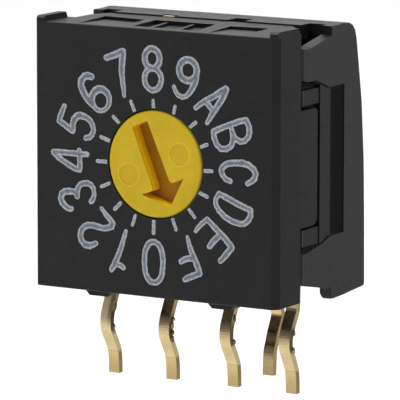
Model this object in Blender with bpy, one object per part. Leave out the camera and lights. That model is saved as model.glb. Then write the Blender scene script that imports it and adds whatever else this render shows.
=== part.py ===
"""Right-angle rotary DIP switch, sixteen positions.

Metres, +Z up. +X is to the right when the dial is looked at, -Y is the way the
dial faces. The origin lies on the board's surface, on the centre plane of the
case, in the row of four leads.

Shapes are drawn in millimetres as (x, d, h): d is the depth behind the dial face
and h is the height above the rotor's axis. place() turns them into metres.
"""

import math

import bmesh
import bpy
from mathutils import Matrix, Vector

# ---------------------------------------------------------------- dimensions, mm
MM = 0.001
FACE_W, FACE_H = 10.0, 9.65  # dial face
AXIS_H = 5.20  # rotor axis above the board
ROW_DEPTH = 3.48  # front lead row behind the dial face
LEAD_PITCH = 2.54
ROW_PITCH = 2.54

CASE_SIDE_DEPTH = 1.70  # side walls of the front case
CASE_BOTTOM_DEEP, CASE_BOTTOM_HALF = 3.02, 4.0  # its bottom wall, in the middle
CASE_FRONT_WALL = 1.05
CASE_WALL = 0.65
CORNER_CHAMFER = 0.22
RAIL_W, RAIL_H, RAIL_END = 0.33, 0.20, 1.50
TAB_TOP, TAB_BOTTOM, TAB_END, TAB_T = 2.06, -2.13, 2.90, 0.4
FOOT_X = (-3.02, 2.13)
FOOT_W, FOOT_D0, FOOT_D1 = 1.06, 1.03, 1.70

BORE_R = 1.98
ROTOR_R = 1.95
ROTOR_PROUD = 0.01
SLOT_DEPTH = 0.56
ARROW_TILT = math.radians(22.5)  # the arrow points at the fifteenth position
NECK_R, GROOVE_D0, GROOVE_D1 = 1.56, 0.66, 1.04
FLANGE_R, FLANGE_D0, FLANGE_D1 = 3.30, 1.10, 1.85
POSITIONS = 16
NOTCH_R, NOTCH_DEPTH = 0.26, 0.20
BOSS_HALF = 0.49
PIN_R, PIN_END = 0.45, 2.75
SEAL_R, SEAL_CORD = 1.765, 0.34

DISC_R, DISC_D0, DISC_T = 3.05, 1.87, 0.13
# code weight: inner radius, outer radius, side of the axis its finger touches
TRACKS = {8: (1.28, 1.62, -1), 4: (1.72, 2.08, 1), 2: (2.18, 2.52, 1), 1: (2.60, 2.92, -1)}
COMMON_R = 0.98

BASE_D0, BASE_D1, BASE_HALF_W, BASE_HALF_H = 2.41, 3.00, 4.28, 4.10
BASE_MIDDLE_BACK, BASE_BACK = 3.62, 3.87
BASE_TOP, BASE_BOTTOM = 2.62, -2.66
LUG_UP = (2.20, 2.75)
LUG_DOWN = (-2.24, -2.85)

HOOD_FRONT = 1.94
HOOD_TOP = 4.86
HOOD_TOP_FRONT = 3.57
HOOD_STEP = 3.87  # the side walls grow taller behind this depth
HOOD_INSIDE = 4.58
HOOD_FLOOR = (-4.60, -4.30)

LEAD_W, LEAD_T = 0.44, 0.25
LEAD_TIP = -8.50
REAR_X = 1.27
STUB_X = -1.60
FINGER_W, FINGER_T = 0.30, 0.10
FOOT_OF_FINGER = 2.32

# ---------------------------------------------------------------- scene helpers
for old in list(bpy.data.objects):
    bpy.data.objects.remove(old, do_unlink=True)


def material(name, colour, rough, metal=0.0):
    mat = bpy.data.materials.new(name)
    mat.use_nodes = True
    shader = mat.node_tree.nodes["Principled BSDF"]
    shader.inputs["Base Color"].default_value = (*colour, 1.0)
    shader.inputs["Roughness"].default_value = rough
    shader.inputs["Metallic"].default_value = metal
    mat.diffuse_color = (*colour, 1.0)
    return mat


def from_bmesh(bm):
    bmesh.ops.recalc_face_normals(bm, faces=bm.faces)
    mesh = bpy.data.meshes.new("shape")
    bm.to_mesh(mesh)
    bm.free()
    obj = bpy.data.objects.new("shape", mesh)
    bpy.context.scene.collection.objects.link(obj)
    return obj


def prism(points, axis, low, high):
    """A polygon pushed along x, d or h. The polygon's two numbers are the other two axes in order."""
    bm = bmesh.new()
    places = {
        "x": lambda p: (low, p[0], p[1]),
        "d": lambda p: (p[0], low, p[1]),
        "h": lambda p: (p[0], p[1], low),
    }[axis]
    face = bm.faces.new([bm.verts.new(places(p)) for p in points])
    grown = bmesh.ops.extrude_face_region(bm, geom=[face])
    step = {"x": (high - low, 0, 0), "d": (0, high - low, 0), "h": (0, 0, high - low)}[axis]
    moved = [v for v in grown["geom"] if isinstance(v, bmesh.types.BMVert)]
    bmesh.ops.translate(bm, vec=step, verts=moved)
    return from_bmesh(bm)


def block(x0, x1, d0, d1, h0, h1):
    return prism([(x0, d0), (x1, d0), (x1, d1), (x0, d1)], "h", h0, h1)


def turned(profile, steps):
    """A profile of (radius, depth) spun about the rotor axis; its ends lie on the axis."""
    bm = bmesh.new()
    verts = [bm.verts.new((r, d, 0.0)) for r, d in profile]
    edges = [bm.edges.new(pair) for pair in zip(verts, verts[1:])]
    bmesh.ops.spin(
        bm, geom=verts + edges, cent=(0, 0, 0), axis=(0, 1, 0),
        angle=math.tau, steps=steps, use_merge=True, use_duplicate=False,
    )
    bmesh.ops.remove_doubles(bm, verts=bm.verts, dist=1e-4)
    return from_bmesh(bm)


def ring(major, minor, depth, around, across):
    """A torus about the rotor axis."""
    bm = bmesh.new()
    rows = []
    for i in range(around):
        a = math.tau * i / around
        row = []
        for j in range(across):
            b = math.tau * j / across
            r = major + minor * math.cos(b)
            row.append(bm.verts.new((r * math.cos(a), depth + minor * math.sin(b), r * math.sin(a))))
        rows.append(row)
    for i in range(around):
        for j in range(across):
            k, m = (i + 1) % around, (j + 1) % across
            bm.faces.new((rows[i][j], rows[k][j], rows[k][m], rows[i][m]))
    return from_bmesh(bm)


def between(low, high):
    """The solid between two flat outlines that have their corners in the same order."""
    bm = bmesh.new()
    lower = [bm.verts.new(p) for p in low]
    upper = [bm.verts.new(p) for p in high]
    bm.faces.new(lower[::-1])
    bm.faces.new(upper)
    for i in range(len(low)):
        k = (i + 1) % len(low)
        bm.faces.new((lower[i], lower[k], upper[k], upper[i]))
    return from_bmesh(bm)


def circle(cx, cy, r, steps, start=0.0):
    return [
        (cx + r * math.cos(start + math.tau * i / steps), cy + r * math.sin(start + math.tau * i / steps))
        for i in range(steps)
    ]


def combine(target, others, operation):
    """Adds the others to the target, or cuts them from it."""
    for other in others:
        mod = target.modifiers.new("join", "BOOLEAN")
        mod.operation = operation
        mod.solver = "EXACT"
        mod.object = other
        other.hide_render = True
        other.display_type = "WIRE"
    bpy.context.view_layer.update()
    graph = bpy.context.evaluated_depsgraph_get()
    mesh = bpy.data.meshes.new_from_object(target.evaluated_get(graph))
    target.modifiers.clear()
    target.data = mesh
    for other in others:
        bpy.data.objects.remove(other, do_unlink=True)
    return target


def join(target, *others):
    return combine(target, others, "UNION")


def cut(target, *others):
    return combine(target, others, "DIFFERENCE")


def soften(obj, width, segments=2, angle=40.0):
    """Rounds the sharp edges, as a mould's do."""
    mod = obj.modifiers.new("soft_edges", "BEVEL")
    mod.width = width
    mod.segments = segments
    mod.limit_method = "ANGLE"
    mod.angle_limit = math.radians(angle)
    bpy.context.view_layer.update()
    graph = bpy.context.evaluated_depsgraph_get()
    mesh = bpy.data.meshes.new_from_object(obj.evaluated_get(graph))
    obj.modifiers.clear()
    obj.data = mesh
    return obj


def place(obj, name, mat, pivot=(0.0, 0.0, 0.0)):
    """Turns (x, d, h) in millimetres into metres, with the object's origin at pivot, which is in metres."""
    obj.name = name
    obj.data.name = name
    to_world = Matrix.Translation((0.0, -ROW_DEPTH * MM, AXIS_H * MM)) @ Matrix.Scale(MM, 4)
    obj.data.transform(Matrix.Translation(-Vector(pivot)) @ to_world)
    obj.location = pivot
    obj.data.materials.clear()
    obj.data.materials.append(mat)
    obj.data.shade_smooth()
    obj.data.set_sharp_from_angle(angle=math.radians(30))
    return obj


BLACK = material("black_plastic", (0.030, 0.030, 0.032), 0.55)
BLACK_REAR = material("black_plastic_rear", (0.034, 0.034, 0.033), 0.50)
YELLOW = material("yellow_plastic", (0.62, 0.46, 0.035), 0.45)
GOLD = material("gold_plate", (0.80, 0.60, 0.28), 0.25, 1.0)
STEEL = material("spring_steel", (0.55, 0.55, 0.56), 0.30, 1.0)
SEAL = material("silicone_seal", (0.30, 0.06, 0.04), 0.60)

# ---------------------------------------------------------------- front case
half_w, half_h = FACE_W / 2, FACE_H / 2
inner_w, inner_h = half_w - CASE_WALL, half_h - CASE_WALL
plan = [
    (-half_w, 0.0), (half_w - CORNER_CHAMFER, 0.0),
    (half_w, CORNER_CHAMFER), (half_w, CASE_SIDE_DEPTH), (-half_w, CASE_SIDE_DEPTH),
]
case = prism(plan, "h", -half_h, half_h)
soften(case, 0.045, 2, 50)

# The top wall reaches further back than the sides, with cut corners.
top_wall = [
    (-4.42, 1.5), (-4.42, 2.75), (-4.20, 3.35), (-4.00, 3.50), (3.62, 3.50), (4.32, 2.64), (4.54, 1.84), (4.54, 1.5),
]
add = [
    prism(top_wall, "h", inner_h - 0.2, half_h - 0.012),
    block(-CASE_BOTTOM_HALF, CASE_BOTTOM_HALF, 1.5, CASE_BOTTOM_DEEP, -half_h + 0.012, -inner_h + 0.2),
]
for side in (-1, 1):
    # Snap tab: rounded where its lower edge meets its end.
    outline = [(1.4, TAB_TOP), (1.4, TAB_BOTTOM), (TAB_END - 0.30, TAB_BOTTOM)]
    outline += [
        (TAB_END - 0.30 + 0.30 * math.sin(t), TAB_BOTTOM + 0.30 - 0.30 * math.cos(t))
        for t in (math.radians(a) for a in (22.5, 45, 67.5, 90))
    ]
    outline += [(TAB_END, TAB_TOP - 0.12), (TAB_END - 0.12, TAB_TOP)]
    x0, x1 = sorted((side * (half_w - 0.012), side * (half_w - TAB_T)))
    add.append(prism(outline, "x", x0, x1))
    # Hook on the tab's inner face, behind the base's catch.
    hook = [(side * 4.44, 2.67), (side * 4.62, 2.67), (side * 4.70, 2.88), (side * 4.52, 2.88)]
    add.append(prism(hook, "h", -1.2, 1.2))
    # Rail along the top edge: rounded in front, sloped at the back.
    rail = [(0.30, half_h - 0.2), (0.28, half_h - 0.03), (0.02, half_h - 0.03), (0.02, half_h + 0.04)]
    rail += [
        (0.15 - 0.13 * math.cos(t), half_h + 0.04 + (RAIL_H - 0.04) * math.sin(t))
        for t in (math.radians(a) for a in (30, 60, 90))
    ]
    rail += [
        (RAIL_END, half_h + RAIL_H), (RAIL_END + 0.14, half_h - 0.09), (RAIL_END, half_h - 0.2),
    ]
    x0, x1 = sorted((side * (half_w - 0.006), side * (half_w - RAIL_W)))
    add.append(prism(rail, "x", x0, x1))
for x in FOOT_X:
    w = FOOT_W / 2
    outline = [
        (x - w, -half_h + 0.2), (x - w, -AXIS_H + 0.15), (x - w + 0.15, -AXIS_H),
        (x + w - 0.15, -AXIS_H), (x + w, -AXIS_H + 0.15), (x + w, -half_h + 0.2),
    ]
    add.append(prism(outline, "d", FOOT_D0, FOOT_D1 - 0.012))
join(case, *add)


def field(corners, floor):
    """A shallow field in the top, with the given corners (x, d) and floor height at each depth."""
    return between([(x, d, floor(d)) for x, d in corners], [(x, d, half_h + 0.4) for x, d in corners])


def sloping(d):
    return half_h + 0.003 - 0.052 * (d - 0.06)


away = [
    block(-inner_w, inner_w, CASE_FRONT_WALL, 5.0, -inner_h, inner_h),
    prism(circle(0, 0, BORE_R, 72), "d", -1.0, 2.0),
    # Three shallow fields in the top. The outer two slope down to the rear.
    field([(-3.30, 0.06), (-1.40, 0.06), (-1.90, 2.40), (-3.69, 2.60)], sloping),
    field([(2.13, 0.06), (3.56, 0.06), (3.23, 2.45), (1.74, 2.30)], sloping),
]
pocket = field([(-1.20, 0.50), (1.50, 0.45), (1.00, 2.50), (-1.50, 2.50)], lambda d: half_h - 0.16)
cut(
    pocket,
    prism([(-0.67, 0.30), (-0.52, 0.30), (-0.96, 2.80), (-1.11, 2.80)], "h", half_h - 0.5, half_h - 0.06),
    prism([(0.50, 0.30), (0.65, 0.30), (0.13, 2.80), (-0.02, 2.80)], "h", half_h - 0.5, half_h - 0.06),
)
away.append(pocket)
cut(case, *away)

# Ribs that hold the ends of the detent springs.
ribs = []
for side in (-1, 1):
    for up in (-1, 1):
        x0, x1 = sorted((side * 3.95, side * (inner_w + 0.1)))
        h0, h1 = sorted((up * 2.98, up * 3.25))
        ribs.append(block(x0, x1, CASE_FRONT_WALL - 0.1, 1.66, h0, h1))
join(case, *ribs)
place(case, "front_case", BLACK)

# ---------------------------------------------------------------- rotor
pivot = (0.0, -ROW_DEPTH * MM, AXIS_H * MM)
P = -ROTOR_PROUD
rotor = turned(
    [
        (0.0, P), (ROTOR_R - 0.14, P), (ROTOR_R - 0.06, P + 0.02), (ROTOR_R - 0.02, P + 0.06), (ROTOR_R, P + 0.13),
        (ROTOR_R, GROOVE_D0), (NECK_R, GROOVE_D0), (NECK_R, GROOVE_D1), (ROTOR_R, GROOVE_D1),
        (ROTOR_R, FLANGE_D1 - 0.3), (PIN_R, FLANGE_D1 - 0.3), (PIN_R, PIN_END - 0.08),
        (PIN_R - 0.08, PIN_END), (0.0, PIN_END),
    ],
    72,
)
# Detent wheel: sixteen round notches in its rim.
notch_at = FLANGE_R - NOTCH_DEPTH + NOTCH_R
rim_turn = math.acos((notch_at ** 2 + FLANGE_R ** 2 - NOTCH_R ** 2) / (2 * notch_at * FLANGE_R))
notch_turn = math.acos((notch_at ** 2 + NOTCH_R ** 2 - FLANGE_R ** 2) / (2 * notch_at * NOTCH_R))
wheel = []
for i in range(POSITIONS):
    a = math.tau * i / POSITIONS
    for k in range(7):
        t = a + notch_turn * (1 - k / 3)
        wheel.append((notch_at * math.cos(a) - NOTCH_R * math.cos(t), notch_at * math.sin(a) - NOTCH_R * math.sin(t)))
    for k in (1, 2):
        t = a + rim_turn + (math.tau / POSITIONS - 2 * rim_turn) * k / 3
        wheel.append((FLANGE_R * math.cos(t), FLANGE_R * math.sin(t)))
join(
    rotor,
    prism(wheel, "d", FLANGE_D0, FLANGE_D1),
    block(-BOSS_HALF, BOSS_HALF, FLANGE_D1 - 0.1, 2.12, -BOSS_HALF, BOSS_HALF),
)

dx, dh = math.sin(ARROW_TILT), -math.cos(ARROW_TILT)  # the way the arrow points
ex, eh = math.cos(ARROW_TILT), math.sin(ARROW_TILT)


def on_arrow(u, v):
    return (u * dx + v * ex, u * dh + v * eh)


arrow = [
    on_arrow(u, v)
    for u, v in (
        (-1.56, -0.34), (-1.56, 0.24), (-1.50, 0.30), (0.72, 0.34), (0.84, 0.41), (0.84, 0.93),
        (1.62, 0.03), (1.62, -0.03), (0.84, -0.95), (0.84, -0.48), (0.72, -0.43), (-1.50, -0.40),
    )
]
cuts = [prism(arrow, "d", -1.0, P + SLOT_DEPTH)]
for v in (-1.18, 1.10):
    cx, ch = on_arrow(0.0, v)
    cuts.append(prism(circle(cx, ch, 0.41, 28), "d", -1.0, P + 0.035))
cut(rotor, *cuts)
place(rotor, "rotor", YELLOW, pivot)

seal = ring(SEAL_R, SEAL_CORD / 2, (GROOVE_D0 + GROOVE_D1) / 2, 48, 12)
place(seal, "rotor_seal", SEAL, pivot)

# ---------------------------------------------------------------- code disc
disc = prism(circle(0, 0, DISC_R, 64), "d", DISC_D0, DISC_D0 + DISC_T)
holes = [block(-BOSS_HALF - 0.03, BOSS_HALF + 0.03, 1.5, 3.0, -BOSS_HALF - 0.03, BOSS_HALF + 0.03)]
step = math.tau / POSITIONS
for weight, (r0, r1, side) in TRACKS.items():
    touch = 0.0 if side > 0 else math.pi
    runs, open_run = [], None
    for n in range(POSITIONS + 1):
        clear = n < POSITIONS and not n & weight
        if clear and open_run is None:
            open_run = n
        if not clear and open_run is not None:
            runs.append((open_run, n - 1))
            open_run = None
    for first, last in runs:
        a0 = touch + (first - (POSITIONS - 1) - 0.5) * step + 0.03
        a1 = touch + (last - (POSITIONS - 1) + 0.5) * step - 0.03
        parts = 3 * (last - first + 1)
        arc = [a0 + (a1 - a0) * i / parts for i in range(parts + 1)]
        outline = [(r0 * math.cos(a), r0 * math.sin(a)) for a in arc]
        outline += [(r1 * math.cos(a), r1 * math.sin(a)) for a in reversed(arc)]
        holes.append(prism(outline, "d", 1.5, 3.0))
cut(disc, *holes)
place(disc, "code_disc", GOLD, pivot)

# ---------------------------------------------------------------- detent springs
for side, word in ((-1, "left"), (1, "right")):
    t = 0.10
    line = [
        (4.26, -2.92), (4.10, -2.60), (3.72, -0.75), (3.60, -0.42), (3.34, -0.20), (3.20, -0.07),
        (3.20, 0.07), (3.34, 0.20), (3.60, 0.42), (3.72, 0.75), (4.10, 2.60), (4.26, 2.92),
    ]
    pts = [Vector(p) for p in line]
    inside, outside = [], []
    for i, p in enumerate(pts):
        along = (pts[min(i + 1, len(pts) - 1)] - pts[max(i - 1, 0)]).normalized()
        across = Vector((along.y, -along.x))
        inside.append(p - across * t / 2)
        outside.append(p + across * t / 2)
    outline = [(side * q.x, q.y) for q in inside + outside[::-1]]
    spring = prism(outline, "d", 1.16, 1.78)
    place(spring, "detent_spring_" + word, STEEL)

# ---------------------------------------------------------------- base
base = block(-BASE_HALF_W, BASE_HALF_W, BASE_D0, BASE_D1, -BASE_HALF_H, BASE_HALF_H)
add = [
    block(-4.30, 4.30, BASE_D1 - 0.2, BASE_MIDDLE_BACK, BASE_BOTTOM, BASE_TOP),
]
for side in (-1, 1):
    x0, x1 = sorted((side * 3.9, side * 4.96))
    end_block = [
        (3.12, -2.87), (3.25, -2.85), (3.54, -2.75), (3.80, BASE_BOTTOM), (BASE_BACK, BASE_BOTTOM),
        (BASE_BACK, 2.63), (3.76, 2.63), (3.40, 2.78), (3.12, 2.86),
    ]
    add.append(prism(end_block, "x", x0, x1))
    x0, x1 = sorted((side * 4.38, side * 4.93))
    for near, far in (LUG_UP, LUG_DOWN):
        lug = [(1.92, near), (1.92, far), (3.15, far), (3.40, math.copysign(2.56, far)), (3.40, near)]
        add.append(prism(lug, "x", x0, x1))
    catch = [(side * 4.1, 2.46), (side * 4.30, 2.46), (side * 4.50, 2.57), (side * 4.50, 2.62), (side * 4.1, 2.62)]
    add.append(prism(catch, "h", -1.5, 1.5))
join(base, *add)
openings = [prism(circle(0, 0, 0.50, 24), "d", 1.9, 2.93)]
for x in (-1.5, -0.5, 0.5, 1.5):
    openings.append(block(x * LEAD_PITCH - 0.28, x * LEAD_PITCH + 0.28, 1.8, 3.4, -3.80, -3.45))
openings.append(block(STUB_X - 0.28, STUB_X + 0.28, 1.8, 3.4, 3.45, 3.80))
# Hollows in the back, which keep the moulding's walls even.
for x0, x1 in ((-3.6, -1.9), (-1.4, 1.4), (1.9, 3.6)):
    openings.append(block(x0, x1, 3.15, 5.0, -2.2, 2.1))
cut(base, *openings)
place(base, "base", BLACK_REAR)

# ---------------------------------------------------------------- rear housing
skin = [
    (HOOD_FRONT, -4.24), (HOOD_STEP, -4.62), (HOOD_STEP, -5.00), (4.23, -5.03), (4.90, -5.00), (5.72, -4.94),
    (6.37, -4.90), (6.455, -4.81), (6.42, -2.47), (6.356, -0.26), (6.165, 1.95), (6.00, 2.88), (5.835, 3.80),
    (5.75, 4.25), (5.64, 4.56), (5.46, 4.75), (5.235, 4.85), (4.90, 4.88), (4.40, HOOD_TOP), (HOOD_FRONT, HOOD_TOP),
]
hood = prism(skin, "x", -half_w, half_w)
soften(hood, 0.05, 2, 40)
away = [
    prism(
        [
            (0.0, HOOD_FLOOR[1]), (6.12, HOOD_FLOOR[1]), (6.07, -2.3), (6.00, -0.3), (5.82, 1.9), (5.66, 2.85),
            (5.50, 3.7), (5.40, 4.1), (5.22, 4.35), (4.90, 4.45), (0.0, 4.45),
        ],
        "x", -HOOD_INSIDE, HOOD_INSIDE,
    ),
    # under the floor, between the side walls, whose lower inner edges are rounded
    prism(
        [
            (-4.8, -5.6), (-4.8, -5.07), (-4.70, -5.00), (-4.62, -4.91), (-4.56, -4.79), (-4.56, HOOD_FLOOR[0]),
            (4.56, HOOD_FLOOR[0]), (4.56, -4.79), (4.62, -4.91), (4.70, -5.00), (4.8, -5.07), (4.8, -5.6),
        ],
        "d", 1.0, 5.55,
    ),
    block(-4.57, 4.57, 0.0, HOOD_STEP + 0.02, -5.6, -4.0),
    block(-3.92, 3.92, 0.0, HOOD_TOP_FRONT, 4.2, 5.5),
    block(REAR_X - 0.38, REAR_X + 0.34, 3.2, 4.20, 4.2, 5.5),
    block(STUB_X - 0.29, STUB_X + 0.29, 3.3, 3.84, 4.2, 5.5),
    block(REAR_X - 0.32, REAR_X + 0.32, 5.70, 6.20, -5.6, -4.0),
]
for side in (-1, 1):
    x0, x1 = sorted((side * 3.90, side * 4.60))
    away.append(block(x0, x1, 0.0, 4.22, 4.2, 5.5))
    # The side wall's top beside the notch rises to the rear, from a short level part in front.
    edge = ((4.50, 2.34, 4.273), (5.30, 2.34, 4.195), (5.30, 3.88, 4.487), (4.50, 3.88, 4.565))
    away.append(between([(side * x, d, h) for x, d, h in edge], [(side * x, d, 5.5) for x, d, h in edge]))
    level = ((4.50, 1.0, 4.276), (5.30, 1.0, 4.198), (5.30, 2.40, 4.198), (4.50, 2.40, 4.276))
    away.append(between([(side * x, d, h) for x, d, h in level], [(side * x, d, 5.4) for x, d, h in level]))
    x0, x1 = sorted((side * 4.40, side * 5.3))
    window = [
        (1.3, 3.25), (1.80, 3.14), (2.16, 3.04), (2.70, 3.05), (3.03, 2.95), (3.40, 2.83), (3.76, 2.68), (4.83, 2.70),
        (4.83, -2.69), (3.83, -2.70), (3.54, -2.80), (3.25, -2.90), (3.03, -2.93), (2.74, -2.98), (2.38, -3.04),
        (1.87, -3.12), (1.3, -3.25),
    ]
    away.append(prism(window, "x", x0, x1))
cut(hood, *away)
# Two ribs inside close the side windows off from the hollow behind the base, and a web
# closes each notch off below the top.
ribs = []
for side in (-1, 1):
    x0, x1 = sorted((side * 4.38, side * 4.61))
    ribs.append(
        prism(
            [
                (BASE_BACK + 0.07, -4.45), (6.22, -4.45), (6.16, -2.2), (6.10, -0.3), (5.92, 1.9), (5.76, 2.85),
                (5.59, 3.7), (5.50, 4.1), (5.33, 4.4), (5.03, 4.6), (4.30, 4.6), (4.30, 3.9), (BASE_BACK + 0.07, 3.9),
            ],
            "x", x0, x1,
        )
    )
    x0, x1 = sorted((side * 3.80, side * 4.65))
    ribs.append(block(x0, x1, 4.26, 4.46, 3.30, 4.60))
join(hood, *ribs)
place(hood, "rear_housing", BLACK_REAR)


# ---------------------------------------------------------------- terminals
def smooth_line(points, per):
    """Points along a smooth curve through the given ones."""
    out = []
    for i in range(len(points) - 1):
        p0 = points[max(i - 1, 0)]
        p1, p2 = points[i], points[i + 1]
        p3 = points[min(i + 2, len(points) - 1)]
        for j in range(per):
            t = j / per
            out.append(
                tuple(
                    0.5 * (2 * b + (c - a) * t + (2 * a - 5 * b + 4 * c - d) * t * t + (3 * b - a - 3 * c + d) * t ** 3)
                    for a, b, c, d in zip(p0, p1, p2, p3)
                )
            )
    out.append(points[-1])
    return out


def ribbon(points, x0, x1, thick):
    """A flat strip of the given thickness that follows (d, h) points, between x0 and x1."""
    pts = [Vector(p) for p in points]
    one, two = [], []
    for i, p in enumerate(pts):
        into = (p - pts[i - 1]).normalized() if i else (pts[1] - p).normalized()
        out = (pts[i + 1] - p).normalized() if i < len(pts) - 1 else into
        along = (into + out).normalized()
        across = Vector((along.y, -along.x))
        reach = thick / 2 / max(0.5, across.dot(Vector((into.y, -into.x))))
        one.append(p + across * reach)
        two.append(p - across * reach)
    return prism([tuple(q) for q in one + two[::-1]], "x", x0, x1)


# Centre line of a lead from its top to its tip, as (depth from the lead's own row, height).
FRONT_KINK = [
    (-0.17, -3.50), (-0.17, -4.60), (-0.18, -5.35), (-0.29, -5.62), (-0.435, -5.92), (-0.545, -6.15),
    (-0.61, -6.40), (-0.605, -6.70), (-0.505, -6.93), (-0.275, -7.30), (-0.12, -7.60), (-0.07, -7.80),
    (-0.04, -8.10), (-0.03, LEAD_TIP),
]
REAR_KINK = [
    (-0.13, -3.40), (-0.13, -4.60), (-0.12, -4.95), (0.10, -5.45), (0.42, -5.90), (0.60, -6.20), (0.615, -6.44),
    (0.47, -6.74), (0.31, -7.04), (0.19, -7.35), (0.09, -7.56), (0.04, -7.82), (0.02, -8.20), (0.0, LEAD_TIP - 0.03),
]


def lead(x, row, kink, lean=0.0):
    """A lead whose free end is bent sideways by lean."""
    line = [(row + a, b) for a, b in smooth_line(kink, 3)]
    strip = ribbon(line, x - LEAD_W / 2, x + LEAD_W / 2, LEAD_T)
    for vertex in strip.data.vertices:
        vertex.co.x += lean * min(1.0, max(0.0, (-5.0 - vertex.co.z) / 2.5))
    return strip


def finger(x, foot_h, tip_h):
    """A spring finger that leaves the base's face and ends just behind the code disc."""
    way = 1 if tip_h > foot_h else -1
    face = DISC_D0 + DISC_T + 0.03 + FINGER_T / 2
    line = [
        (FOOT_OF_FINGER, foot_h - way * 0.1), (FOOT_OF_FINGER, foot_h + way * 0.45), (face + 0.05, tip_h - way * 0.16),
        (face, tip_h), (face + 0.06, tip_h + way * 0.18),
    ]
    return ribbon(line, x - FINGER_W / 2, x + FINGER_W / 2, FINGER_T)


WEIGHT_AT = {1: -1.5, 8: -0.5, 4: 0.5, 2: 1.5}
LEAN = {1: 0.02, 8: -0.045, 4: 0.015, 2: -0.095}
for weight, place_no in WEIGHT_AT.items():
    x = place_no * LEAD_PITCH
    r0, r1, side = TRACKS[weight]
    fx = side * (r0 + r1) / 2
    low = min(x - LEAD_W / 2, fx - FINGER_W / 2)
    high = max(x + LEAD_W / 2, fx + FINGER_W / 2)
    terminal = lead(x, ROW_DEPTH, FRONT_KINK, LEAN[weight])
    join(
        terminal,
        block(x - LEAD_W / 2 + 0.01, x + LEAD_W / 2 - 0.01, 2.28, ROW_DEPTH - 0.17, -3.75, -3.52),
        block(low, high, 2.26, 2.38, -3.76, -3.42),
        finger(fx, -3.5, 0.0),
    )
    place(terminal, f"terminal_{weight}", GOLD)

rear_row = ROW_DEPTH + ROW_PITCH
common = lead(REAR_X, rear_row, REAR_KINK)
leg = rear_row - 0.13
join(
    common,
    # forward to the cross leg, across it, and up behind the base
    block(REAR_X - LEAD_W / 2 + 0.01, REAR_X + LEAD_W / 2 - 0.01, 4.46, leg, -3.65, -3.42),
    block(REAR_X - LEAD_W / 2, REAR_X + LEAD_W / 2, 4.45, 4.70, -3.66, -2.30),
    block(STUB_X - LEAD_W / 2, REAR_X + LEAD_W / 2 - 0.01, 4.455, 4.695, -2.65, -2.20),
    block(STUB_X - LEAD_W / 2 + 0.01, STUB_X + LEAD_W / 2, 4.45, 4.70, -2.4, 3.76),
    # over the base to its face
    block(STUB_X - LEAD_W / 2 + 0.02, STUB_X + LEAD_W / 2 - 0.01, 2.28, 4.58, 3.51, 3.75),
    # stub in the gap behind the case's top
    block(STUB_X - LEAD_W / 2, STUB_X + LEAD_W / 2, 3.53, 3.77, 3.50, 4.84),
    block(STUB_X - LEAD_W / 2 + 0.015, FINGER_W / 2, 2.26, 2.38, 3.42, 3.77),
    finger(0.0, 3.5, COMMON_R),
)
place(common, "terminal_common", GOLD)
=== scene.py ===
"""Looks of the rotary DIP switch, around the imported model."""

import math

import bpy
import numpy as np
from mathutils import Matrix, Vector


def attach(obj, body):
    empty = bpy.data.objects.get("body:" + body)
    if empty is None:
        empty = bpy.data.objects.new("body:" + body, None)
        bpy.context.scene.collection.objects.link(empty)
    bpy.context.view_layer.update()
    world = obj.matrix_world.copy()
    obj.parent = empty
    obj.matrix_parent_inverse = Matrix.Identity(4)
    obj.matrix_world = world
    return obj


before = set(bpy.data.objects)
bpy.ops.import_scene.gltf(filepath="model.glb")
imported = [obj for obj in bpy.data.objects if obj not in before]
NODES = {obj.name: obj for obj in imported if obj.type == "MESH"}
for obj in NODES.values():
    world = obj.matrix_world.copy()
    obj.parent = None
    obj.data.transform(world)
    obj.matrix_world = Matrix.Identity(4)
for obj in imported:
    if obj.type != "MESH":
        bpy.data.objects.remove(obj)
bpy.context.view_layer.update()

MM = 0.001
FACE_Y = -3.48  # dial face, mm in the row frame
AXIS_Z = 5.20  # rotor axis, mm in the row frame
BORE_R = 1.98
ARROW_TILT = math.radians(22.5)
PRINT_SCALE = 140.0  # the dial print below is drawn at 140 units to the millimetre across
PRINT_TALL = 0.965  # and is this much lower than that
PRINT_MIDDLE = 602.0
PRINT_SHIFT = -0.025  # mm

scene = bpy.context.scene
scene.view_settings.view_transform = "Standard"

# ---------------------------------------------------------------- camera
AZ, EL, ROLL = (math.radians(a) for a in (30.711, 9.143, 0.091))
FOCAL = 4474.226  # pixels, in a frame 400 pixels wide
DISTANCE = 159.004
FACE_PX = (155.020, 164.360)  # where the middle of the dial face lies in the frame

towards = Vector((math.sin(AZ) * math.cos(EL), -math.cos(AZ) * math.cos(EL), math.sin(EL)))
flat_right = Vector((math.cos(AZ), math.sin(AZ), 0.0))
flat_up = flat_right.cross(-towards)
right = math.cos(ROLL) * flat_right + math.sin(ROLL) * flat_up
up = -math.sin(ROLL) * flat_right + math.cos(ROLL) * flat_up
spot = (
    DISTANCE * towards
    - (FACE_PX[0] - 200) / FOCAL * DISTANCE * right
    + (FACE_PX[1] - 200) / FOCAL * DISTANCE * up
    + Vector((0.0, FACE_Y, AXIS_Z))
)
camera = bpy.data.objects.new("camera", bpy.data.cameras.new("camera"))
camera.data.sensor_width = 36.0
camera.data.lens = FOCAL / 400 * 36.0
camera.data.clip_start, camera.data.clip_end = 0.005, 20.0
camera.matrix_world = Matrix(
    (
        (right.x, up.x, towards.x, spot.x * MM),
        (right.y, up.y, towards.y, spot.y * MM),
        (right.z, up.z, towards.z, spot.z * MM),
        (0.0, 0.0, 0.0, 1.0),
    )
)
scene.collection.objects.link(camera)
scene.camera = camera


# ---------------------------------------------------------------- small helpers
def new_object(name, verts, faces, smooth=True):
    mesh = bpy.data.meshes.new(name)
    mesh.from_pydata([tuple(v) for v in verts], [], faces)
    mesh.validate()
    mesh.update()
    obj = bpy.data.objects.new(name, mesh)
    scene.collection.objects.link(obj)
    if smooth:
        mesh.shade_smooth()
    return obj


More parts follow.
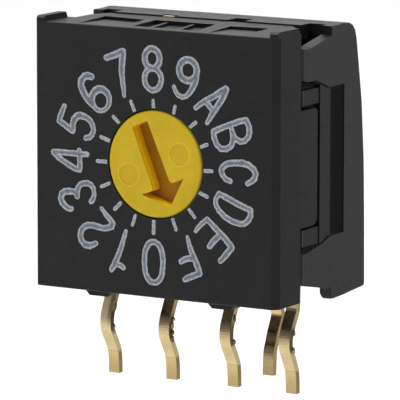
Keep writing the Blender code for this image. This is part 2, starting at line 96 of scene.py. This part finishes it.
class Nodes:
    """A material's node tree, with short calls for the nodes used here."""

    def __init__(self, name):
        self.material = bpy.data.materials.new(name)
        self.material.use_nodes = True
        self.tree = self.material.node_tree
        self.shader = self.tree.nodes["Principled BSDF"]

    def add(self, kind, **values):
        node = self.tree.nodes.new(kind)
        for key, value in values.items():
            if key in node.inputs:
                node.inputs[key].default_value = value
            else:
                setattr(node, key, value)
        return node

    def link(self, out, into):
        self.tree.links.new(out, into)

    def place(self):
        """Where a point lies, in millimetres."""
        coord = self.add("ShaderNodeTexCoord")
        scale = self.add("ShaderNodeVectorMath", operation="SCALE")
        scale.inputs["Scale"].default_value = 1000.0
        self.link(coord.outputs["Object"], scale.inputs[0])
        return scale.outputs[0]

    def noise(self, where, scale, detail=3.0, rough=0.55):
        node = self.add("ShaderNodeTexNoise", Scale=scale, Detail=detail, Roughness=rough)
        self.link(where, node.inputs["Vector"])
        return node.outputs["Fac"]

    def ramp(self, value, stops, smooth="EASE"):
        node = self.add("ShaderNodeValToRGB")
        node.color_ramp.interpolation = smooth
        while len(node.color_ramp.elements) < len(stops):
            node.color_ramp.elements.new(0.5)
        for element, (at, colour) in zip(node.color_ramp.elements, stops):
            element.position = at
            element.color = (*colour, 1.0) if len(colour) == 3 else colour
        self.link(value, node.inputs["Fac"])
        return node.outputs["Color"]

    def spread(self, value, low, high, a, b):
        node = self.add("ShaderNodeMapRange")
        for key, number in (("From Min", low), ("From Max", high), ("To Min", a), ("To Max", b)):
            node.inputs[key].default_value = number
        self.link(value, node.inputs["Value"])
        return node.outputs["Result"]

    def mix(self, fac, a, b, blend="MIX"):
        node = self.add("ShaderNodeMix", data_type="RGBA", blend_type=blend)
        for value, socket in ((fac, node.inputs[0]), (a, node.inputs[6]), (b, node.inputs[7])):
            if isinstance(value, (int, float, tuple)):
                socket.default_value = value if not isinstance(value, tuple) else (*value, 1.0)
            else:
                self.link(value, socket)
        return node.outputs[2]

    def math(self, operation, a, b=0.0):
        node = self.add("ShaderNodeMath", operation=operation)
        for value, socket in ((a, node.inputs[0]), (b, node.inputs[1])):
            if isinstance(value, (int, float)):
                socket.default_value = value
            else:
                self.link(value, socket)
        return node.outputs[0]

    def bump(self, height, distance_mm, strength=1.0):
        node = self.add("ShaderNodeBump", Strength=strength, Distance=distance_mm * MM)
        self.link(height, node.inputs["Height"])
        self.link(node.outputs["Normal"], self.shader.inputs["Normal"])


def put(obj, material):
    obj.data.materials.clear()
    obj.data.materials.append(material)


def moulded(name, dark, light, rough, level=0.5, grain=0.0012, inside=None, painted_shading=False, reach=(4.64, 4.78)):
    """Black moulded plastic: a fine eroded grain and a faint cloudy tone; if asked, painted light and shade too: a
    paler painted bore wall and painted shade towards the right, or recesses painted near-black with a faint painted
    glow and a paler painted tone on the faces in front.
    """
    m = Nodes(name)
    where = m.place()
    fine = m.noise(where, 16.0, 4.0, 0.6)
    cloud = m.noise(where, 1.1, 2.0)
    tone = m.math("ADD", m.math("MULTIPLY", fine, 0.6), m.math("MULTIPLY", cloud, 0.4))
    colour = m.ramp(tone, [(0.30, dark), (0.70, light)])
    axes = m.add("ShaderNodeSeparateXYZ")
    m.link(where, axes.inputs[0])
    m.shader.inputs["Specular IOR Level"].default_value = level
    if painted_shading:
        up = m.math("SUBTRACT", axes.outputs["Z"], AXIS_Z)
        radius = m.math(
            "SQRT", m.math("ADD", m.math("MULTIPLY", axes.outputs["X"], axes.outputs["X"]), m.math("MULTIPLY", up, up))
        )
        # Painted light and shade: the bore wall is painted a paler grey to lift its shade, and the case is painted
        # darker towards the right.
        colour = m.mix(m.spread(radius, BORE_R + 0.004, BORE_R + 0.008, 1.0, 0.0), colour, (0.045, 0.045, 0.045))
        colour = m.mix(m.spread(axes.outputs["X"], -5.0, 5.0, 0.0, 0.24), colour, (0.0, 0.0, 0.0))
        m.link(
            m.spread(m.math("ABSOLUTE", axes.outputs["X"]), 4.97, 4.995, level, level * 0.70),
            m.shader.inputs["Specular IOR Level"],
        )
    if inside:
        # Painted shade and light: the recesses are painted near-black, and the faces in front of them take a paler
        # painted tone.
        within = m.spread(m.math("ABSOLUTE", axes.outputs["X"]), reach[0], reach[1], 1.0, 0.0)
        within = m.math("MULTIPLY", within, m.spread(axes.outputs["Y"], FACE_Y + 4.9, FACE_Y + 5.0, 1.0, 0.0))
        below_top = m.spread(axes.outputs["Z"], AXIS_Z + 4.0, AXIS_Z + 4.3, 1.0, 0.0)
        front = m.spread(axes.outputs["Y"], FACE_Y + 1.955, FACE_Y + 1.99, 1.0, 0.0)
        recess = m.math("MULTIPLY", within, below_top)
        colour = m.mix(recess, colour, (0.0035, 0.0037, 0.0042))
        colour = m.mix(front, colour, inside)
        # A faint painted glow stands in for stray light and keeps the recesses from going fully black.
        m.shader.inputs["Emission Color"].default_value = (0.95, 1.0, 1.08, 1.0)
        m.link(m.math("MULTIPLY", recess, 0.0085), m.shader.inputs["Emission Strength"])
    m.link(colour, m.shader.inputs["Base Color"])
    m.link(m.spread(m.noise(where, 5.0, 3.0), 0.3, 0.7, rough - 0.05, rough + 0.06), m.shader.inputs["Roughness"])
    m.bump(m.math("ADD", fine, m.math("MULTIPLY", m.noise(where, 45.0, 2.0), 0.5)), grain)
    return m.material


# ---------------------------------------------------------------- materials
# The front case carries a paler painted bore wall and painted shade darkening towards the right.
BLACK = moulded("black_plastic", (0.0070, 0.0070, 0.0078), (0.0160, 0.0160, 0.0174), 0.42, 0.35, painted_shading=True)
# The rear and base plastics carry a paler painted tone at the front and painted near-black recesses with a faint
# painted glow.
BLACK_REAR = moulded(
    "black_plastic_rear", (0.0080, 0.0080, 0.0079), (0.0140, 0.0140, 0.0137), 0.40, 0.45, inside=(0.074, 0.076, 0.080),
    reach=(4.90, 4.97)
)
BLACK_BASE = moulded(
    "black_plastic_base", (0.0070, 0.0070, 0.0070), (0.0130, 0.0130, 0.0130), 0.42, 0.30, inside=(0.050, 0.053, 0.060)
)

m = Nodes("yellow_plastic")
where = m.place()
cloud = m.noise(where, 1.6, 3.0)
speck = m.noise(where, 20.0, 2.0)
tone = m.math("ADD", m.math("MULTIPLY", cloud, 0.65), m.math("MULTIPLY", speck, 0.35))
m.link(m.spread(speck, 0.3, 0.7, 0.40, 0.50), m.shader.inputs["Roughness"])
colour = m.ramp(tone, [(0.30, (0.62, 0.435, 0.012)), (0.70, (0.72, 0.51, 0.018))])
axes = m.add("ShaderNodeSeparateXYZ")
m.link(where, axes.inputs[0])



def from_point(x, z):
    """Distance in the dial's plane from a point of it."""
    dx, dz = m.math("SUBTRACT", axes.outputs["X"], x), m.math("SUBTRACT", axes.outputs["Z"], AXIS_Z + z)
    return m.math("SQRT", m.math("ADD", m.math("MULTIPLY", dx, dx), m.math("MULTIPLY", dz, dz)))


# Painted light and shade: the slot walls are painted bright just below the face and orange deeper, the slot floor is
# painted dark brown as painted shade, and round its rim a painted olive shade.
depth = m.math("SUBTRACT", axes.outputs["Y"], FACE_Y)
colour = m.mix(m.spread(depth, 0.04, 0.10, 0.0, 1.0), colour, (1.0, 0.74, 0.012))
colour = m.mix(m.spread(depth, 0.12, 0.40, 0.0, 1.0), colour, (1.0, 0.58, 0.012))
colour = m.mix(m.spread(depth, 0.50, 0.545, 0.0, 1.0), colour, (0.38, 0.185, 0.006))
colour = m.mix(m.spread(from_point(0.0, 0.0), 1.86, 1.94, 0.0, 0.60), colour, (0.30, 0.23, 0.006))
# The two ejector marks are a shade more orange inside a paler ring.
for across in (-1.18, 1.10):
    away = from_point(across * math.cos(ARROW_TILT), across * math.sin(ARROW_TILT))
    colour = m.mix(m.spread(away, 0.37, 0.40, 0.38, 0.0), colour, (0.70, 0.41, 0.020))
    ring = m.math("MULTIPLY", m.spread(away, 0.36, 0.40, 0.0, 0.55), m.spread(away, 0.42, 0.45, 1.0, 0.0))
    colour = m.mix(ring, colour, (0.85, 0.68, 0.08))
m.link(colour, m.shader.inputs["Base Color"])
m.shader.inputs["Specular IOR Level"].default_value = 0.22
m.shader.inputs["Subsurface Weight"].default_value = 0.35
m.shader.inputs["Subsurface Scale"].default_value = 0.00022
m.shader.inputs["Subsurface Radius"].default_value = (1.0, 0.55, 0.05)
m.bump(m.noise(where, 9.0, 3.0), 0.0012)
YELLOW = m.material

m = Nodes("gold_plate")
where = m.place()
stretch = m.add("ShaderNodeMapping")
stretch.inputs["Scale"].default_value = (1.0, 1.0, 0.16)
m.link(where, stretch.inputs["Vector"])
drawn = m.noise(stretch.outputs[0], 22.0, 3.0)
blotch = m.noise(where, 5.0, 3.0)
tone = m.math("ADD", m.math("MULTIPLY", drawn, 0.4), m.math("MULTIPLY", blotch, 0.6))
colour = m.ramp(tone, [(0.28, (0.70, 0.53, 0.27)), (0.72, (0.86, 0.68, 0.39))])
axes = m.add("ShaderNodeSeparateXYZ")
m.link(where, axes.inputs[0])
facing = m.add("ShaderNodeSeparateXYZ")
m.link(m.add("ShaderNodeTexCoord").outputs["Normal"], facing.inputs[0])
cut_edge = m.spread(m.math("ABSOLUTE", facing.outputs["X"]), 0.60, 0.80, 0.0, 1.0)
# The sheared edges: tan above, rougher and painted dark round the kink as painted shade under the case, a painted
# highlight along the slant, olive at the tip.
wobble = m.math("MULTIPLY", m.math("SUBTRACT", m.noise(where, 3.0, 3.0), 0.5), 0.35)
level = m.spread(m.math("ADD", axes.outputs["Z"], wobble), -3.4, 0.2, 0.0, 1.0)
sheared = m.ramp(
    level,
    [
        (0.05, (0.56, 0.42, 0.18)), (0.24, (0.46, 0.34, 0.14)), (0.28, (1.0, 0.83, 0.46)), (0.45, (1.0, 0.80, 0.44)),
        (0.49, (0.24, 0.18, 0.11)), (0.68, (0.26, 0.19, 0.10)), (0.74, (0.72, 0.54, 0.27)), (1.0, (0.76, 0.58, 0.30)),
    ],
    smooth="LINEAR",
)
sheared = m.mix(m.spread(axes.outputs["Y"], 1.4, 1.5, 0.0, 1.0), sheared, (0.66, 0.50, 0.24))
# The tip below the bend is a deeper gold, past a faint crease.
colour = m.mix(m.spread(axes.outputs["Z"], -2.50, -2.44, 0.80, 0.0), colour, (0.70, 0.53, 0.25))
crease = m.spread(m.math("ABSOLUTE", m.math("ADD", axes.outputs["Z"], 2.47)), 0.0, 0.04, 0.40, 0.0)
colour = m.mix(crease, colour, (0.30, 0.22, 0.10))
# The first lead is paler above its kink, with a dark streak along the right.
upper = m.math("MULTIPLY", m.spread(axes.outputs["X"], -3.4, -3.3, 1.0, 0.0), m.spread(axes.outputs["Z"], -1.6, -1.0, 0.0, 1.0))
colour = m.mix(upper, colour, (1.0, 0.86, 0.55))
streak = m.math("MULTIPLY", m.spread(axes.outputs["X"], -3.76, -3.68, 0.0, 0.65), m.spread(axes.outputs["X"], -3.4, -3.3, 1.0, 0.0))
colour = m.mix(m.math("MULTIPLY", streak, m.spread(axes.outputs["Z"], -1.5, -1.1, 0.0, 1.0)), colour, (0.30, 0.22, 0.12))
m.link(m.mix(cut_edge, colour, sheared), m.shader.inputs["Base Color"])
torn = m.math("MULTIPLY", cut_edge, m.spread(m.math("ABSOLUTE", m.math("SUBTRACT", level, 0.585)), 0.07, 0.11, 0.30, 0.0))
first = m.math("MULTIPLY", m.spread(axes.outputs["X"], -3.4, -3.3, 0.50, 0.0), m.spread(axes.outputs["Z"], -1.4, -0.9, 0.0, 1.0))
m.link(
    m.math("ADD", m.spread(blotch, 0.3, 0.7, 0.20, 0.32), m.math("ADD", torn, first)), m.shader.inputs["Roughness"]
)
m.shader.inputs["Metallic"].default_value = 1.0
m.bump(m.math("ADD", drawn, blotch), 0.003)
GOLD = m.material

m = Nodes("gold_burr")
where = m.place()
m.link(m.ramp(m.noise(where, 9.0, 3.0), [(0.35, (0.25, 0.19, 0.11)), (0.65, (0.60, 0.46, 0.26))]), m.shader.inputs["Base Color"])
m.link(m.spread(m.noise(where, 25.0), 0.3, 0.7, 0.35, 0.55), m.shader.inputs["Roughness"])
m.shader.inputs["Metallic"].default_value = 1.0
BURR = m.material

m = Nodes("spring_steel")
where = m.place()
m.link(m.ramp(m.noise(where, 12.0), [(0.3, (0.42, 0.42, 0.43)), (0.7, (0.60, 0.60, 0.61))]), m.shader.inputs["Base Color"])
m.link(m.spread(m.noise(where, 30.0), 0.3, 0.7, 0.22, 0.36), m.shader.inputs["Roughness"])
m.shader.inputs["Metallic"].default_value = 1.0
STEEL = m.material

m = Nodes("silicone")
where = m.place()
m.link(m.ramp(m.noise(where, 8.0), [(0.3, (0.20, 0.035, 0.022)), (0.7, (0.28, 0.055, 0.034))]), m.shader.inputs["Base Color"])
m.link(m.spread(m.noise(where, 20.0), 0.3, 0.7, 0.48, 0.62), m.shader.inputs["Roughness"])
SILICONE = m.material

for name, node in NODES.items():
    if name == "rotor":
        put(node, YELLOW)
    elif name.startswith("terminal") or name == "code_disc":
        put(node, GOLD)
    elif name.startswith("detent"):
        put(node, STEEL)
    elif name == "rotor_seal":
        put(node, SILICONE)
    elif name == "front_case":
        put(node, BLACK)
    elif name == "base":
        put(node, BLACK_BASE)
    else:
        put(node, BLACK_REAR)

# ---------------------------------------------------------------- burrs on the leads' cut edges
# Each is (x, y, z, half sizes along x, y and z), in mm.
BURRS = [
    (-3.59, -0.38, -0.77, 0.05, 0.07, 0.13), (-3.58, -0.44, -0.55, 0.03, 0.07, 0.08), (-3.59, -0.50, -1.49, 0.05, 0.06, 0.10),
    (-1.06, -0.45, -0.98, 0.06, 0.07, 0.07), (-1.07, -0.50, -1.22, 0.04, 0.09, 0.16), (-1.07, -0.50, -1.47, 0.07, 0.07, 0.09),
    (-1.08, -0.46, -1.72, 0.04, 0.07, 0.12),
    (1.50, -0.40, -0.72, 0.03, 0.08, 0.14), (1.50, -0.44, -1.58, 0.05, 0.07, 0.09),
    (3.98, -0.44, -1.00, 0.05, 0.07, 0.11), (3.97, -0.46, -1.65, 0.06, 0.06, 0.12), (3.53, -0.56, -1.56, 0.05, 0.07, 0.09),
]
verts, faces = [], []
for number, (x, y, z, rx, ry, rz) in enumerate(BURRS):
    first = len(verts)
    for i in range(9):
        polar = math.pi * i / 8
        for j in range(14):
            turn = math.tau * j / 14
            lump = 1.0 + 0.16 * math.sin(3 * turn + 2.1 * number) * math.sin(2 * polar + number)
            verts.append(
                (
                    (x + 1.25 * rx * lump * math.sin(polar) * math.cos(turn)) * MM,
                    (y + ry * lump * math.sin(polar) * math.sin(turn)) * MM,
                    (z + rz * lump * math.cos(polar)) * MM,
                )
            )
    for i in range(8):
        for j in range(14):
            k = (j + 1) % 14
            faces.append((first + 14 * i + j, first + 14 * i + 14 + j, first + 14 * i + 14 + k, first + 14 * i + k))
burrs = new_object("burrs", verts, faces)
put(burrs, BURR)
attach(burrs, "body")

# ---------------------------------------------------------------- dial print
# Each stroke is a line of (x, y, half width), drawn as the dial is looked at.


def oval(cx, cy, rx, ry, w, power=2.0, turn=0.0, parts=28):
    out = []
    for i in range(parts + 1):
        a = math.tau * i / parts
        c, s = math.cos(a), math.sin(a)
        x = rx * math.copysign(abs(c) ** (2 / power), c)
        y = ry * math.copysign(abs(s) ** (2 / power), s)
        out.append((cx + x * math.cos(turn) - y * math.sin(turn), cy + x * math.sin(turn) + y * math.cos(turn), w))
    return out


STROKES = {
    "0": [oval(598, 1115, 54, 107, 17, 2.3)],
    "1": [
        [(435, 968, 12), (425, 1000, 14), (405, 1060, 16), (385, 1110, 18), (366, 1150, 18), (350, 1177, 16)],
        [(378, 1142, 17), (402, 1150, 16), (420, 1160, 15)],
    ],
    "2": [
        [
            (291, 859, 12), (318, 890, 14), (343, 914, 16), (357, 932, 18), (350, 950, 19), (328, 960, 18),
            (300, 964, 17), (270, 958, 18), (240, 953, 18), (212, 955, 18), (188, 966, 18), (170, 988, 18),
            (165, 1012, 18), (171, 1038, 19), (192, 1058, 20), (218, 1063, 20), (240, 1056, 18), (256, 1047, 16),
        ]
    ],
    "3": [
        [
            (112, 877, 17), (96, 876, 18), (76, 866, 19), (58, 849, 19), (50, 826, 19), (56, 803, 19),
            (75, 789, 19), (100, 784, 19), (125, 786, 18), (144, 794, 17), (147, 808, 17),
        ],
        [
            (147, 808, 16), (147, 782, 18), (153, 760, 17), (165, 745, 16), (186, 736, 16), (209, 733, 17),
            (230, 741, 16), (244, 759, 15), (249, 785, 14), (244, 810, 15), (230, 828, 16),
        ],
    ],
    "4": [
        [(8, 585, 17), (60, 583, 17), (120, 583, 17), (170, 583, 17), (205, 583, 16)],
        [(8, 590, 16), (40, 614, 17), (90, 641, 17), (135, 663, 17), (160, 666, 17)],
        [(160, 566, 16), (163, 600, 17), (163, 640, 17), (162, 666, 17)],
    ],
    "5": [
        [(72, 338, 15), (60, 366, 17), (48, 394, 18), (41, 418, 17)],
        [(41, 418, 17), (78, 438, 18), (112, 462, 17), (122, 466, 16)],
        [
            (124, 460, 16), (122, 430, 19), (130, 404, 20), (146, 386, 20), (168, 380, 20), (196, 386, 18),
            (222, 400, 17), (240, 424, 16), (245, 450, 16), (238, 474, 16), (222, 490, 17), (201, 497, 16),
        ],
    ],
    "6": [
        [
            (234, 173, 19), (212, 169, 21), (190, 176, 21), (174, 194, 21), (171, 220, 21), (182, 250, 21),
            (204, 282, 22), (232, 312, 20),
        ],
        [(287 + 51 * math.cos(math.tau * i / 28), 290 + 56 * math.sin(math.tau * i / 28),
          18 - 4.0 * math.sin(math.tau * (i / 28) + 0.3)) for i in range(29)],
    ],
    "7": [
        [(321, 68, 17), (368, 50, 20), (414, 30, 20)],
        [(419, 30, 20), (416, 62, 21), (412, 105, 20), (412, 150, 18), (418, 190, 16), (423, 225, 15), (426, 257, 12)],
    ],
    "8": [oval(589, 53, 43, 51, 19), oval(593, 160, 49, 57, 17)],
    "9": [
        oval(796, 99, 51, 54, 20),
        [
            (846, 100, 19), (845, 130, 18), (836, 160, 19), (821, 190, 18), (806, 214, 16), (786, 234, 15),
            (762, 241, 14), (741, 233, 14), (724, 213, 13), (715, 189, 12),
        ],
    ],
    "A": [
        [(1013, 180, 19), (976, 203, 19), (940, 226, 17), (900, 248, 17), (866, 270, 16), (840, 290, 14)],
        [(1015, 182, 19), (998, 222, 19), (975, 258, 19), (953, 290, 18), (933, 318, 17), (918, 345, 15), (906, 362, 13)],
        [(902, 258, 17), (936, 292, 17)],
    ],
    "B": [
        [(944, 406, 18), (985, 384, 17), (1040, 362, 17), (1090, 341, 17), (1130, 331, 16)],
        [
            (1130, 334, 17), (1145, 362, 17), (1148, 392, 18), (1140, 420, 17), (1120, 440, 16), (1094, 444, 17),
            (1068, 432, 17), (1052, 404, 15), (1044, 372, 15),
        ],
        [
            (1046, 385, 14), (1052, 415, 14), (1054, 445, 17), (1042, 474, 17), (1016, 490, 17), (985, 490, 17),
            (962, 470, 17), (948, 440, 17), (942, 410, 17),
        ],
    ],
    "C": [
        [
            (1040, 654, 15), (1017, 646, 16), (997, 628, 16), (988, 604, 17), (996, 582, 17), (1018, 567, 18),
            (1055, 558, 18), (1105, 554, 19), (1145, 562, 18), (1172, 580, 18), (1185, 605, 18), (1178, 630, 17),
            (1160, 645, 16), (1138, 657, 15),
        ]
    ],
    "D": [
        [(977, 724, 16), (1020, 741, 18), (1070, 763, 18), (1115, 780, 18), (1155, 793, 17)],
        [
            (1155, 793, 17), (1155, 822, 17), (1142, 849, 17), (1120, 867, 17), (1090, 869, 17), (1050, 860, 17),
            (1010, 840, 17), (976, 812, 16), (957, 780, 15), (957, 752, 14), (975, 724, 15),
        ],
    ],
    "E": [
        [(908, 862, 15), (945, 896, 17), (985, 930, 19), (1020, 962, 19), (1048, 995, 19)],
        [(908, 862, 15), (876, 888, 15), (854, 912, 13), (842, 929, 12)],
        [(985, 934, 18), (955, 962, 18), (935, 985, 18), (921, 1003, 16)],
        [(1048, 998, 19), (1022, 1030, 19), (1000, 1055, 18), (984, 1072, 16)],
    ],
    "F": [
        [(794, 964, 11), (803, 1000, 14), (818, 1040, 17), (835, 1076, 19), (852, 1112, 19), (864, 1146, 18)],
        [(832, 1072, 17), (800, 1076, 17), (775, 1085, 17), (757, 1096, 16)],
        [(864, 1150, 18), (835, 1161, 18), (805, 1175, 18), (780, 1188, 16)],
    ],
    "ticks": [
        [(595, 270, 10), (597, 323, 10)],
        [(722, 291, 10), (710, 342, 10)],
        [(840, 366, 10), (804, 396, 10)],
        [(906, 475, 10), (866, 492, 10)],
        [(934, 611, 11), (878, 612, 11)],
        [(906, 745, 11), (862, 728, 10)],
        [(836, 858, 10), (802, 820, 10)],
        [(728, 932, 10), (707, 874, 10)],
        [(597, 961, 12), (599, 884, 10)],
        [(474, 930, 10), (490, 880, 10)],
        [(369, 856, 11), (404, 822, 11)],
        [(291, 744, 10), (338, 724, 10)],
        [(268, 612, 11), (324, 612, 11)],
        [(290, 484, 11), (338, 500, 11)],
        [(362, 372, 11), (402, 408, 10)],
        [(465, 286, 11), (488, 340, 10)],
    ],
}

RIM_HEIGHT = 0.010  # mm that the ink stands proud
CELL = 0.025


def ink_depth(px, pz):
    """How far inside the ink each point lies, in mm; negative outside."""
    best = np.full(px.shape, -9.0)
    for strokes in STROKES.values():
        for line in strokes:
            pts = [
                (
                    (x - PRINT_MIDDLE) / PRINT_SCALE + PRINT_SHIFT,
                    -(y - PRINT_MIDDLE) / PRINT_SCALE * PRINT_TALL,
                    0.94 * w / PRINT_SCALE,
                )
                for x, y, w in line
            ]
            reach = max(p[2] for p in pts)
            lo_x, hi_x = min(p[0] for p in pts) - reach - 0.1, max(p[0] for p in pts) + reach + 0.1
            lo_z, hi_z = min(p[1] for p in pts) - reach - 0.1, max(p[1] for p in pts) + reach + 0.1
            near = (px > lo_x) & (px < hi_x) & (pz > lo_z) & (pz < hi_z)
            x, z = px[near], pz[near]
            found = best[near]
            for (ax, az, aw), (bx, bz, bw) in zip(pts, pts[1:]):
                dx, dz = bx - ax, bz - az
                t = np.clip(((x - ax) * dx + (z - az) * dz) / max(dx * dx + dz * dz, 1e-12), 0, 1)
                found = np.maximum(found, aw + (bw - aw) * t - np.hypot(x - ax - t * dx, z - az - t * dz))
            best[near] = found
    return best


def ink_edge(px, pz):
    """A slight raggedness of the printed edge, in mm."""
    return 0.009 * np.sin(31.0 * px + 5.0 * np.sin(13.0 * pz)) * np.sin(27.0 * pz + 4.0 * np.sin(17.0 * px))


count = int(round(10.0 / CELL)) + 1
line = np.linspace(-5.0, 5.0, count)
gx, gz = np.meshgrid(line, line, indexing="ij")
field = np.minimum(ink_depth(gx, gz) + ink_edge(gx, gz), np.hypot(gx, gz) - BORE_R - 0.03)
verts, depths, faces, seen = [], [], [], {}


def print_vertex(key, x, z, depth):
    if key not in seen:
        seen[key] = len(verts)
        lift = 0.0015 + RIM_HEIGHT * min(1.0, max(0.0, depth) / 0.035)
        verts.append((x * MM, (FACE_Y - lift) * MM, (z + AXIS_Z) * MM))
        depths.append(max(0.0, depth))
    return seen[key]


inside = field > 0
touched = inside[:-1, :-1] | inside[1:, :-1] | inside[1:, 1:] | inside[:-1, 1:]
for i, j in zip(*np.nonzero(touched)):
    i, j = int(i), int(j)
    corners = [(i, j), (i + 1, j), (i + 1, j + 1), (i, j + 1)]
    polygon = []
    for k, here in enumerate(corners):
        there = corners[(k + 1) % 4]
        a, b = float(field[here]), float(field[there])
        if a > 0:
            polygon.append(print_vertex(here, gx[here], gz[here], a))
        if (a > 0) != (b > 0):
            t = a / (a - b)
            x, z = gx[here] + t * (gx[there] - gx[here]), gz[here] + t * (gz[there] - gz[here])
            polygon.append(print_vertex((min(here, there), max(here, there)), x, z, 0.0))
    if len(polygon) > 2:
        faces.append(polygon)
dial_print = new_object("dial_print", verts, faces)
attribute = dial_print.data.attributes.new("ink_depth", "FLOAT", "POINT")
attribute.data.foreach_set("value", np.array(depths, dtype=np.float32) / 0.12)

m = Nodes("dial_ink")
where = m.place()
depth = m.add("ShaderNodeAttribute", attribute_name="ink_depth").outputs["Fac"]
uneven = m.math("ADD", depth, m.math("MULTIPLY", m.math("SUBTRACT", m.noise(where, 7.0, 4.0, 0.75), 0.5), 2.0))
tone = m.ramp(uneven, [(0.0, (0.22, 0.24, 0.27)), (0.14, (0.50, 0.52, 0.54)), (0.38, (0.42, 0.44, 0.47)), (0.60, (0.22, 0.25, 0.29)), (1.0, (0.13, 0.155, 0.195))])
m.link(tone, m.shader.inputs["Base Color"])
m.link(m.spread(m.noise(where, 12.0), 0.3, 0.7, 0.45, 0.60), m.shader.inputs["Roughness"])
m.bump(m.noise(where, 14.0, 3.0), 0.002)
put(dial_print, m.material)
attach(dial_print, "body")

# ---------------------------------------------------------------- floor and light
FLOOR_Z = -0.030
m = Nodes("floor")
where = m.place()
m.link(m.ramp(m.noise(where, 0.01), [(0.3, (0.94, 0.94, 0.94)), (0.7, (0.96, 0.96, 0.96))]), m.shader.inputs["Base Color"])
m.shader.inputs["Roughness"].default_value = 0.9
m.shader.inputs["Specular IOR Level"].default_value = 0.1
floor = new_object(
    "floor", [(-3, -3, FLOOR_Z), (3, -3, FLOOR_Z), (3, 3, FLOOR_Z), (-3, 3, FLOOR_Z)], [(0, 1, 2, 3)], smooth=False
)
put(floor, m.material)


def softbox(name, where_m, at_m, size, watts, colour=(1.0, 1.0, 1.0)):
    data = bpy.data.lights.new(name, "AREA")
    data.shape = "RECTANGLE"
    data.size, data.size_y = size
    data.energy = watts
    data.color = colour
    obj = bpy.data.objects.new(name, data)
    obj.location = where_m
    obj.rotation_mode = "QUATERNION"
    obj.rotation_quaternion = (Vector(at_m) - Vector(where_m)).to_track_quat("-Z", "Y")
    scene.collection.objects.link(obj)
    return obj


softbox("top", (0.0, 0.10, 0.50), (0, 0.05, 0), (0.7, 0.7), 3.4)
softbox("key", (-0.22, -0.24, 0.42), (0, 0, 0), (0.2, 0.2), 0.8)
floor.visible_glossy = False

# A pale room: bright low behind the switch and below in front of it, dark high in front,
# dimmer on the right.
world = bpy.data.worlds.new("studio")
world.use_nodes = True
tree = world.node_tree
way = tree.nodes.new("ShaderNodeTexCoord").outputs["Generated"]
axes = tree.nodes.new("ShaderNodeSeparateXYZ")
tree.links.new(way, axes.inputs[0])


def world_ramp(value, stops):
    node = tree.nodes.new("ShaderNodeValToRGB")
    node.color_ramp.interpolation = "EASE"
    while len(node.color_ramp.elements) < len(stops):
        node.color_ramp.elements.new(0.5)
    for element, (at, grey) in zip(node.color_ramp.elements, stops):
        element.position = at
        element.color = (grey, grey, grey, 1.0)
    half = tree.nodes.new("ShaderNodeMath")
    half.operation = "MULTIPLY_ADD"
    half.inputs[1].default_value, half.inputs[2].default_value = 0.5, 0.5
    tree.links.new(value, half.inputs[0])
    tree.links.new(half.outputs[0], node.inputs["Fac"])
    return node.outputs["Color"]


def product(a, b):
    node = tree.nodes.new("ShaderNodeMix")
    node.data_type, node.blend_type = "RGBA", "MULTIPLY"
    node.inputs[0].default_value = 1.0
    tree.links.new(a, node.inputs[6])
    tree.links.new(b, node.inputs[7])
    return node.outputs[2]


in_front = world_ramp(axes.outputs["Z"], [(0.0, 0.98), (0.25, 0.98), (0.42, 0.72), (0.46, 0.60), (0.51, 0.28), (0.57, 0.15), (0.75, 0.15), (1.0, 0.35)])
behind = world_ramp(axes.outputs["Z"], [(0.0, 0.40), (0.36, 0.60), (0.46, 0.85), (0.55, 0.95), (0.68, 0.70), (1.0, 0.30)])
across = world_ramp(axes.outputs["X"], [(0.0, 1.0), (0.45, 1.0), (0.80, 0.60), (1.0, 0.50)])
which = tree.nodes.new("ShaderNodeMapRange")
which.interpolation_type = "SMOOTHSTEP"
which.inputs["From Min"].default_value, which.inputs["From Max"].default_value = -0.35, 0.35
tree.links.new(axes.outputs["Y"], which.inputs["Value"])
blend = tree.nodes.new("ShaderNodeMix")
blend.data_type = "RGBA"
tree.links.new(which.outputs["Result"], blend.inputs[0])
tree.links.new(in_front, blend.inputs[6])
tree.links.new(behind, blend.inputs[7])
room = product(blend.outputs[2], across)
# A paler stretch on the right, which the chamfered corner mirrors.
beside = tree.nodes.new("ShaderNodeVectorMath")
beside.operation = "DOT_PRODUCT"
beside.inputs[1].default_value = (0.848, -0.503, -0.159)
tree.links.new(way, beside.inputs[0])
glow = tree.nodes.new("ShaderNodeMapRange")
glow.interpolation_type = "SMOOTHSTEP"
for key, number in (("From Min", 0.80), ("From Max", 0.99), ("To Min", 0.0), ("To Max", 0.20)):
    glow.inputs[key].default_value = number
tree.links.new(beside.outputs["Value"], glow.inputs["Value"])
total = tree.nodes.new("ShaderNodeVectorMath")
total.operation = "ADD"
tree.links.new(room, total.inputs[0])
tree.links.new(glow.outputs["Result"], total.inputs[1])
tree.links.new(total.outputs[0], tree.nodes["Background"].inputs["Color"])
tree.nodes["Background"].inputs["Strength"].default_value = 1.0
scene.world = world
